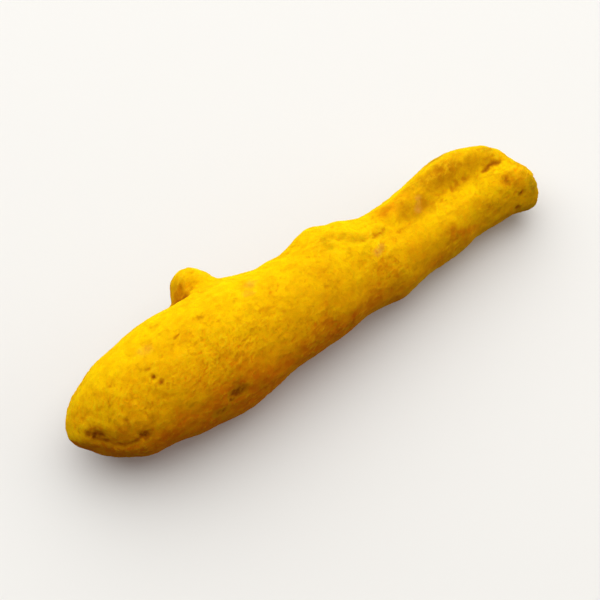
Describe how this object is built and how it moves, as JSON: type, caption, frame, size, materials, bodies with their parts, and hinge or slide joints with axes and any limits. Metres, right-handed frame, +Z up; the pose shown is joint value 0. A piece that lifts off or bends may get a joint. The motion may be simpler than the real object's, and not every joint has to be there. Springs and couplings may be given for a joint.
{
  "type": "dried turmeric root",
  "caption": "Dried turmeric finger coated in its own powder: blunt fat tip, shoulder, narrow neck, flared broken end and one side bud; lies on a flat surface.",
  "frame": {"origin": "on the surface it lies on, under the middle of the root's bounding box", "axes": "+X along the finger from the blunt growing tip to the flared broken end, +Z up, +Y towards the side with the bud"},
  "size_m": [0.0768, 0.021, 0.0167],
  "materials": {
    "turmeric_skin": "matte, powdery golden yellow dried root skin"
  },
  "bodies": {
    "root": {"turmeric_root": "turmeric_skin"}
  },
  "joints": []
}
